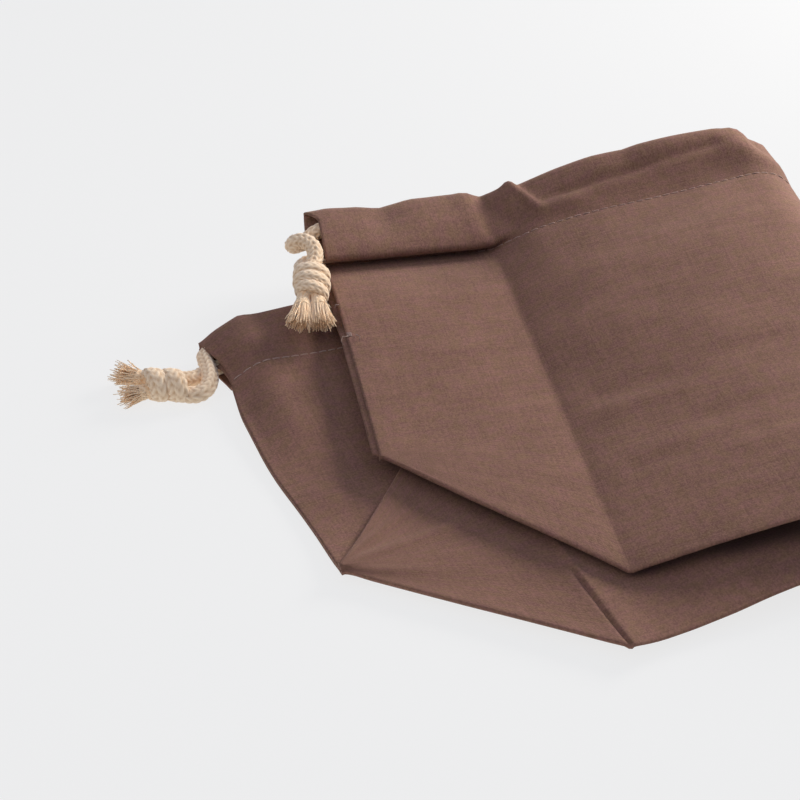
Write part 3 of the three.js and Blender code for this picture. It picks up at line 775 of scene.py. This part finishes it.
def carried_frames(points, closed=False):
    if closed:
        ahead = np.roll(points, -1, axis=0) - np.roll(points, 1, axis=0)
    else:
        ahead = np.gradient(points, axis=0)
    ahead /= np.linalg.norm(ahead, axis=1, keepdims=True)
    side = np.cross(ahead[0], (0.0, 0.0, 1.0))
    if np.linalg.norm(side) < 0.1:
        side = np.cross(ahead[0], (0.0, 1.0, 0.0))
    sides = []
    for direction in ahead:
        side = side - direction * (side @ direction)
        side = side / np.linalg.norm(side)
        sides.append(side)
    sides = np.array(sides)
    return sides, np.cross(ahead, sides)


def tube_faces(count, sides, closed=False):
    ids = np.arange(count * sides).reshape(count, sides)
    after = np.roll(ids, -1, axis=0) if closed else ids[1:]
    before = ids if closed else ids[:-1]
    quads = np.stack([before, np.roll(before, -1, 1), np.roll(after, -1, 1), after], -1)
    faces = [tuple(face) for face in quads.reshape(-1, 4).tolist()]
    if not closed:
        faces += [tuple(ids[0, ::-1].tolist()), tuple(ids[-1].tolist())]
    return faces


def plain_tube(line, thick, sides):
    side, other = carried_frames(line)
    angle = np.linspace(0, math.tau, sides, endpoint=False)[None, :, None]
    out = side[:, None] * np.cos(angle) + other[:, None] * np.sin(angle)
    rings = line[:, None] + out * thick[:, None, None]
    return rings.reshape(-1, 3), tube_faces(len(line), sides)


def thread_tube(line, radius):
    return plain_tube(line, np.full(len(line), radius), THREAD_SIDES)


def join(parts):
    points, faces, values, base = [], [], [], 0
    for piece_points, piece_faces, piece_values in parts:
        points.append(piece_points)
        values.append(piece_values)
        faces += [tuple(i + base for i in face) for face in piece_faces]
        base += len(piece_points)
    return np.concatenate(points), faces, np.concatenate(values)


def on_cloth(layer, across, up, lifted):
    across, up = np.asarray(across, float), np.asarray(up, float)
    here = place(layer, layer, 0, across, up)
    over = place(layer, layer, 0, across + PROBE, up) - here
    upward = place(layer, layer, 0, across, up + PROBE) - here
    normal = np.cross(over, upward)
    normal *= np.sign(normal[:, 2:]) / np.linalg.norm(normal, axis=1, keepdims=True)
    return here + normal * (CLOTH / 2 + np.asarray(lifted))[:, None]


def stitch_row(layer, ends):
    start, end = (np.array((across, CASING_ROW), float) for across in ends)
    length = np.linalg.norm(end - start)
    share = np.linspace(0, 1, STITCH_POINTS)
    arch = STITCH_ARCH * np.sin(math.pi * share) - STITCH_SUNK
    stitches = []
    for at in np.arange(0, length - STITCH_LONG, STITCH_EVERY):
        spots = start + (end - start) / length * (at + STITCH_LONG * share)[:, None]
        line = on_cloth(layer, spots[:, 0], spots[:, 1], arch)
        stitches.append(thread_tube(line, THREAD_RADIUS))
    return stitches


def bar_tack():
    tubes = []
    spots = np.linspace(*TACK_ACROSS, STITCH_POINTS)
    arch = TACK_ARCH * np.sin(np.linspace(0, math.pi, STITCH_POINTS))
    for share in np.linspace(0, 1, TACK_STITCHES):
        line = on_cloth("front", spots, np.full(STITCH_POINTS, TACK_LOW + TACK_TALL * share), arch)
        tubes.append(thread_tube(line, THREAD_RADIUS))
    for ends in THREAD_ENDS:
        across, ups, lifted = np.array(ends).T
        line = on_cloth("front", np.maximum(across, SLIT_EDGE), ups, lifted)
        line[:, 0] += np.minimum(across, 0)
        tubes.append(thread_tube(line, THREAD_END_RADIUS))
    return tubes


def thread_piece(name, tubes, colour):
    material, _, _ = new_material(name, {**THREAD_FINISH, "Base Color": colour})
    points, faces, _ = join([(points, faces, np.zeros(len(points))) for points, faces in tubes])
    piece = mesh_piece(name, to_row(points), faces, material)
    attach(piece, "root")


thread_piece("upper_stitches", stitch_row("front", UPPER_ROW), UPPER_THREAD)
thread_piece("lower_stitches", stitch_row("back", LOWER_ROW), LOWER_THREAD)
thread_piece("bar_tack", bar_tack(), TACK_THREAD)


# The drawstrings: two round knitted cotton cords. Each lies through both casings, once along the
# front and once along the back, and its two ends leave at the same side of the mouth.
CORD = 4.6
LOW_LANE = 132.7
HIGH_LANE = 139.2
TURN_AT = 8.8
TURN_POINTS = 9
LEFT_FRONT_END = [
    (-5.3, 119.5, 17.4), (-5, 122.3, 17.9), (-3.8, 125.2, 18.8), (-3, 127.4, 19.8),
    (-3, 129.6, 20.7), (-4, 131.8, 21.2), (-5.7, 133.7, 21.1), (-7.5, 134.9, 20.2),
    (-8.3, 136.4, 18.3), (-6.9, 138.4, 16.9), (-4.6, 139.9, 16.6), (-2.4, 141.2, 17.4),
    (-0.6, 141.9, 18.3),
]
LEFT_BACK_END = [
    (-7.4, 120.8, 17.4), (-7.5, 123.4, 17.4), (-7.2, 126.4, 16.7), (-6, 129.6, 15.4),
    (-3.6, 131.8, 14.6),
]
RIGHT_FRONT_END = [
    (-47, 97.2, 4.2), (-44.3, 97.8, 3.4), (-41.6, 98.9, 2.7), (-39.4, 100.5, 2.4),
    (-37.6, 102, 2.3), (-35.2, 102.9, 2.4), (-32, 103, 2.5), (-27, 102.7, 2.6), (-22, 102.2, 2.8),
]
RIGHT_BACK_END = [
    (-47.2, 91.9, 3.6), (-44.9, 91.4, 3.1), (-42.1, 90.7, 3.2), (-39.5, 91.8, 3.6),
    (-38, 95.2, 3.9), (-37.7, 99.4, 4.1), (-38, 103.2, 4.1), (-38.2, 106, 4),
    (-36.9, 108, 4.2), (-34.6, 107.7, 5.2),
]
LANE_STATIONS = [2, *np.linspace(12, 312, 121), 322]
LEFT_SHOWN = (36, 20)
RIGHT_SHOWN = (13, 32)
SHOWN_STEP = 0.3
HIDDEN_STEP = 1.5
HIDDEN_SHARE = 0.8
SLACK_REACH = 2
CURVE_POINTS = 24
EASING = np.array([1, 2, 3, 2, 1]) / 9
CORD_SIDES = 40
PATH_EVERY = 3


def tunnel_depth(side, across, up):
    return (layer_depth(side, across, up) + layer_depth(f"{side}_hem", across, up)) / 2


def lane(stations, up, side):
    stations = np.asarray(stations, float)
    ups = np.full_like(stations, up)
    return lie(lean(stations, ups), ups, tunnel_depth(side, stations, ups))


def turn_round(front_lane, back_lane, at_right):
    bend = np.linspace(0, math.pi, TURN_POINTS)
    rise = (back_lane - front_lane) / 2
    sink = (TUNNEL_ROOM + 2 * CLOTH + LAYER_GAP) / 2
    from_end = TURN_AT - math.hypot(rise, sink) * np.sin(bend)
    stations = WIDTH - from_end if at_right else from_end
    ups = (front_lane + back_lane) / 2 - rise * np.cos(bend)
    front, back = (tunnel_depth(side, stations, ups) for side in ("front", "back"))
    share = (1 - np.cos(bend)) / 2
    return lie(lean(stations, ups), ups, front * (1 - share) + back * share)


def through_points(points, step):
    points = np.asarray(points, float)
    padded = np.concatenate([[2 * points[0] - points[1]], points, [2 * points[-1] - points[-2]]])
    fine = []
    for a, b, c, d in zip(padded, padded[1:], padded[2:], padded[3:]):
        share = np.linspace(0, 1, CURVE_POINTS, endpoint=False)[:, None]
        curve = 2 * b + (c - a) * share + (2 * a - 5 * b + 4 * c - d) * share ** 2
        fine.append((curve + (3 * b - a - 3 * c + d) * share ** 3) / 2)
    fine = np.concatenate([*fine, points[-1:]])
    run = run_along(fine)
    wanted = [0.0]
    while wanted[-1] < run[-1]:
        wanted.append(wanted[-1] + step(wanted[-1], run[-1]))
    wanted = np.array(wanted) * (run[-1] / wanted[-1])
    return np.stack([np.interp(wanted, run, fine[:, k]) for k in range(3)], -1), wanted


# The knit: wales of slanting stitch leaves, with a furrow between wales and a spine along each.
WALES = 5
WALES_TURNED = 0.26
STITCH_PITCH = 1.8
LEAF_SLANT = 0.95
LEAF_FULLNESS = 0.6
LEAF_GAP = 0.15
FURROW = {"depth": 0.12, "half": 0.2}
SPINE = {"depth": 0.07, "half": 0.16}
KNIT_OUTER = 1.05
KNIT_DEEPEST = 0.22


def knitted(run, angle, radius):
    wale = angle * WALES / math.tau
    off = np.abs(wale - np.floor(wale) - 0.5) * 2
    beat = run / STITCH_PITCH - LEAF_SLANT * off
    leaf = (0.5 + 0.5 * np.cos(math.tau * beat)) ** LEAF_FULLNESS
    furrow = np.exp(-((1 - off) / FURROW["half"]) ** 2)
    spine = np.exp(-(off / SPINE["half"]) ** 2)
    hollow_and_shade = LEAF_GAP * (1 - leaf) + FURROW["depth"] * furrow + SPINE["depth"] * spine
    # The second value is painted shade: how far the colour darkens in the hollows of the knit.
    return radius * (KNIT_OUTER - hollow_and_shade), np.clip(hollow_and_shade / KNIT_DEEPEST, 0, 1)


def knitted_tube(points, run, radius, sides, closed=False, flat=1.0, flat_axis=None):
    side, other = carried_frames(points, closed)
    angle = np.linspace(0, math.tau, sides, endpoint=False)
    reach, hollow_and_shade = knitted(run[:, None], angle[None, :] + WALES_TURNED, radius)
    out = side[:, None] * np.cos(angle)[None, :, None] + other[:, None] * np.sin(angle)[None, :, None]
    if flat_axis is not None:
        away = (out * flat_axis[:, None]).sum(-1, keepdims=True) * flat_axis[:, None]
        out = out - (1 - flat) * away
    rings = points[:, None] + out * reach[..., None]
    return rings.reshape(-1, 3), tube_faces(len(points), sides, closed), hollow_and_shade.ravel()


COTTON_FINISH = {"Roughness": 0.95, "Specular IOR Level": 0.12, "Sheen Weight": 0.4,
                 "Sheen Roughness": 0.5}
KNITTED_LIGHT = (1, 0.80, 0.575, 1)
KNITTED_DARK = (0.66, 0.43, 0.25, 1)
# Strength of the painted shade in the knit's hollows.
KNITTED_HOLLOW_SHADE = 0.85
KNITTED_FINENESS = 1500
COTTON_RANGE = (0.42, 1.35)
FIBRE_BROAD = {"Scale": 260.0, "Detail": 3.0}
FIBRE_FINE = {"Detail": 2.0, "Distortion": 1.6}
FIBRE_BUMP = {"Strength": 0.45, "Distance": 0.00015}


def fibre_group():
    group = bpy.data.node_groups.new("cotton_fibres", "ShaderNodeTree")
    fineness = group.interface.new_socket("Fineness", in_out="INPUT", socket_type="NodeSocketFloat")
    fineness.default_value = KNITTED_FINENESS
    for name in ("Tone", "Height"):
        group.interface.new_socket(name, in_out="OUTPUT", socket_type="NodeSocketFloat")
    given, result = add_node(group, "NodeGroupInput"), add_node(group, "NodeGroupOutput")
    spot = add_node(group, "ShaderNodeTexCoord").outputs["Object"]
    broad = add_node(group, "ShaderNodeTexNoise", [("Vector", spot)], **FIBRE_BROAD)
    fine = add_node(group, "ShaderNodeTexNoise", [("Vector", spot)], **FIBRE_FINE)
    group.links.new(given.outputs["Fineness"], fine.inputs["Scale"])
    both = maths(group, "ADD", broad.outputs["Fac"], fine.outputs["Fac"])
    group.links.new(maths(group, "MULTIPLY", both, 0.5), result.inputs["Tone"])
    group.links.new(fine.outputs["Fac"], result.inputs["Height"])
    return group


COTTON_FIBRES = fibre_group()


def cotton_material(name, light, dark, hollow_shade_share, fineness):
    material, tree, shader = new_material(name, COTTON_FINISH)
    fibres = add_node(tree, "ShaderNodeGroup", node_tree=COTTON_FIBRES)
    fibres.inputs["Fineness"].default_value = fineness
    hollow_and_shade = add_node(tree, "ShaderNodeAttribute", attribute_name="hollow_and_shade").outputs["Fac"]
    # Painted shade: the colour darkens where the knit is hollow, mixed with the fibres' own random tone.
    hollow_shading = maths(tree, "MULTIPLY", hollow_and_shade, hollow_shade_share)
    shade = mapped(tree, maths(tree, "ADD", hollow_shading, fibres.outputs["Tone"]), *COTTON_RANGE)
    tree.links.new(mixed_colour(tree, shade, light, dark), shader.inputs["Base Color"])
    bump = add_node(tree, "ShaderNodeBump", [("Height", fibres.outputs["Height"])], **FIBRE_BUMP)
    tree.links.new(bump.outputs["Normal"], shader.inputs["Normal"])
    return material


def cotton_piece(name, mesh_parts, material, node):
    points, faces, hollow_and_shade = mesh_parts
    piece = mesh_piece(name, to_row(points), faces, material)
    point_values(piece, "hollow_and_shade", hollow_and_shade)
    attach(piece, "root")
    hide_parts(node)
    return piece


def eased(path):
    half = len(EASING) // 2
    padded = np.pad(path, ((half, half), (0, 0)), mode="reflect", reflect_type="odd")
    return sum(share * padded[k:k + len(path)] for k, share in enumerate(EASING))


def drawstring(name, route, shown, node):
    def step(at, total):
        return SHOWN_STEP if at < shown[0] or at > total - shown[1] else HIDDEN_STEP

    path, run = through_points(route, step)
    path = eased(eased(path))
    first, last = shown[0], run[-1] - shown[1]
    slack = np.maximum(ramp(first + SLACK_REACH, first - SLACK_REACH, run),
                       ramp(last - SLACK_REACH, last + SLACK_REACH, run))
    girth = CORD / 2 * (HIDDEN_SHARE + (1 - HIDDEN_SHARE) * slack)[:, None]
    piece = cotton_piece(name, knitted_tube(path, run, girth, CORD_SIDES), cotton, node)
    length = np.linalg.norm(np.diff(path, axis=0), axis=1).sum()
    return piece, [tuple(p) for p in to_row(path[::PATH_EVERY])], length * MM


cotton = cotton_material("knitted_cotton", KNITTED_LIGHT, KNITTED_DARK, KNITTED_HOLLOW_SHADE, KNITTED_FINENESS)

# Each route goes in at its front end, along the front casing, round the far side, and back behind.
left_route = [*LEFT_FRONT_END, *lane(LANE_STATIONS[:-1], HIGH_LANE, "front")[:-1],
              *turn_round(HIGH_LANE, LOW_LANE, True),
              *lane(LANE_STATIONS[:-1], LOW_LANE, "back")[-2::-1], *LEFT_BACK_END[::-1]]
right_route = [*RIGHT_FRONT_END, *lane(LANE_STATIONS[1:], LOW_LANE, "front")[-3:0:-1],
               *turn_round(LOW_LANE, HIGH_LANE, False),
               *lane(LANE_STATIONS[1:], HIGH_LANE, "back")[1:], *RIGHT_BACK_END[::-1]]
drawstrings = {
    "left": drawstring("drawstring_left", left_route, LEFT_SHOWN, "cord_left"),
    "right": drawstring("drawstring_right", right_route, RIGHT_SHOWN, "cord_right"),
}


# The knots: the two ends of each drawstring tied together in one overhand knot, pulled tight.
# What shows of it is the cord wrapped across its own ends. A wrap is (place, slant, half width).
KNOTS = {
    "left": {"start": (-5.1, 121.6, 17.9), "end": (-6.9, 110.6, 16.6), "width": 5.4, "thick": 4.5,
             "wraps": ((0.15, 0.05, 2.05), (0.48, 0.14, 2.15), (0.80, 0.2, 2.1)), "shrink": 0.86},
    "right": {"start": (-45.1, 93.5, 4.7), "end": (-55.2, 96.1, 4.7), "width": 4.8, "thick": 4.6,
              "wraps": ((0.26, -0.3, 2.9), (0.73, -0.34, 2.8)), "shrink": 0.95},
}
WRAP_HALF_HEIGHT = 1.4
WRAP_POINTS = 120
WRAP_SIDES = 36
LAST_WRAP_FROM = 0.8
CORE_SPOTS = (0.04, 0.35, 0.65, 0.96)
CORE_STEP = 0.6
CORE_SUNK = 2.0
CORE_SIDES = 28


def level_axes(start, end):
    along = (end - start) / np.linalg.norm(end - start)
    side = np.cross((0, 0, 1), along)
    side /= np.linalg.norm(side)
    return along, side, np.cross(along, side)


def knot_piece(hand):
    knot = KNOTS[hand]
    start, end = np.array(knot["start"], float), np.array(knot["end"], float)
    along, side, rise = level_axes(start, end)
    length = np.linalg.norm(end - start)
    bend = np.linspace(0, math.tau, WRAP_POINTS, endpoint=False)
    parts = []
    for share, slant, half in knot["wraps"]:
        narrow = 1 if share < LAST_WRAP_FROM else knot["shrink"]
        wide = (knot["width"] - WRAP_HALF_HEIGHT) * narrow
        high = (knot["thick"] - WRAP_HALF_HEIGHT) * narrow
        ring = start + along * length * share
        ring = ring + np.cos(bend)[:, None] * side * wide + np.sin(bend)[:, None] * rise * high
        ring = ring + along * (slant * length * np.cos(bend) / 2)[:, None]
        run = run_along(ring)
        total = run[-1] + np.linalg.norm(ring[0] - ring[-1])
        run = run * round(total / STITCH_PITCH) * STITCH_PITCH / total
        flat_axis = np.cos(bend)[:, None] * side + np.sin(bend)[:, None] * rise
        flat = WRAP_HALF_HEIGHT / half
        parts.append(knitted_tube(ring, run, half, WRAP_SIDES, True, flat, flat_axis))
    spots = [start + along * length * share for share in CORE_SPOTS]
    core, run = through_points(spots, lambda at, total: CORE_STEP)
    parts.append(knitted_tube(core, run, knot["thick"] - CORE_SUNK, CORE_SIDES))
    return cotton_piece(f"knot_wraps_{hand}", join(parts), cotton, f"knot_{hand}")


knots = {hand: knot_piece(hand) for hand in KNOTS}


# The frayed ends: past each knot the cut cords come undone into their cotton yarns, which fan out
# and run down towards their tips.
FRAYS = {
    ("left", "front"): {"root": (-5.1, 112.6, 16.6), "tip": (-6.2, 98.6, 15.4),
                        "wide": 3.7, "high": 2.1, "stray": 0.3, "yarns": 250},
    ("left", "back"): {"root": (-8.6, 113, 16.6), "tip": (-12.2, 99.6, 15.6),
                       "wide": 4.0, "high": 2.1, "stray": 0.3, "yarns": 250},
    ("right", "front"): {"root": (-53.4, 94.2, 3.9), "tip": (-61.4, 94.2, 2.9),
                         "wide": 2.9, "high": 2.5, "stray": 0.8, "yarns": 150},
    ("right", "back"): {"root": (-53.2, 98, 4.2), "tip": (-62.2, 104, 3.9),
                        "wide": 3.3, "high": 2.4, "stray": 0.9, "yarns": 150},
}
FRAY_SEEDS = {"front": 11, "back": 12}
FRAYED_LIGHT = (0.98, 0.76, 0.52, 1)
FRAYED_DARK = (0.86, 0.51, 0.24, 1)
FRAYED_HOLLOW_SHADE = 0.7
FRAYED_FINENESS = 2200
HEAD = 1.95
HEAD_FULL = 1.04
HEAD_SPREADS = 0.1
HEAD_STEP = 0.3
HEAD_SIDES = 28
BRAIDED = 0.34
BRAID_LAP = 0.1
STUB_MIDDLE = 0.22
YARN_POINTS = 8
YARN_SIDES = 4
YARN_RADIUS = 0.17
YARN_THINS = 0.35
YARN_LENGTHS = (0.9, 1.05)
YARN_OPENS = 1.1
GOLDEN_TURN = 2.39996
STRAY_MOST = 0.85
STRAY_WILD = 0.9
STRAY_GROWTH = 1.5
CRIMP = 0.08
CRIMP_PACE = 12
CRIMP_PHASES = (0, 6)
YARN_LOWEST = 0.25
YARN_INNER_SHADE = 0.85
YARN_TONE = (0.05, 0.12)
ROOT_TONE = 0.3
TIP_TONE = 0.2


def fray_piece(hand, name):
    rng = np.random.default_rng(FRAY_SEEDS[name])
    fray = FRAYS[hand, name]
    root, tip = np.array(fray["root"], float), np.array(fray["tip"], float)
    _, side, rise = level_axes(root, tip)
    spots = [root, root + (tip - root) * STUB_MIDDLE, root + (tip - root) * (BRAIDED + BRAID_LAP)]
    stub, run = through_points(spots, lambda at, total: HEAD_STEP)
    girth = HEAD * (HEAD_FULL + HEAD_SPREADS * (run / run[-1])[:, None] ** 2)
    parts = [knitted_tube(stub, run, girth, HEAD_SIDES)]
    share = np.linspace(BRAIDED - BRAID_LAP, 1, YARN_POINTS)[:, None]
    opened = np.clip((share - BRAIDED + BRAID_LAP) / (1 + BRAID_LAP - BRAIDED), 0, 1) ** YARN_OPENS
    for number in range(fray["yarns"]):
        out = math.sqrt((number + 0.5) / fray["yarns"])
        turn = number * GOLDEN_TURN
        start = (side * math.cos(turn) + rise * math.sin(turn)) * out * HEAD
        fan = side * (fray["wide"] * out * math.cos(turn))
        fan = fan + rise * (fray["high"] * out * math.sin(turn))
        line = root + (tip - root) * share * rng.uniform(*YARN_LENGTHS)
        line = line + start * (1 - opened) + fan * opened
        stray = fray["stray"] if rng.uniform() < STRAY_MOST else STRAY_WILD
        line = line + rng.normal(0, stray, 3) * opened ** STRAY_GROWTH
        line = line + CRIMP * np.sin(share * CRIMP_PACE + rng.uniform(*CRIMP_PHASES)) * side
        line[:, 2] = np.maximum(line[:, 2], YARN_LOWEST)
        spread = opened[:, 0]
        rings, faces = plain_tube(line, YARN_RADIUS * (1 - YARN_THINS * spread), YARN_SIDES)
        # Painted shade: yarns deeper inside the fan are coloured darker, with a random tone on top.
        tone = np.clip(YARN_INNER_SHADE * (1 - out) + rng.normal(*YARN_TONE), 0, 1)
        tones = tone * (ROOT_TONE + (1 - ROOT_TONE) * spread) + TIP_TONE * spread ** 4
        parts.append((rings, faces, np.repeat(tones, YARN_SIDES)))
    return cotton_piece(f"fray_{hand}_{name}", join(parts), fray_cotton, f"tail_{hand}_{name}")


fray_cotton = cotton_material("frayed_cotton", FRAYED_LIGHT, FRAYED_DARK, FRAYED_HOLLOW_SHADE, FRAYED_FINENESS)
frays = {hand: [fray_piece(hand, name) for name in FRAY_SEEDS] for hand in KNOTS}
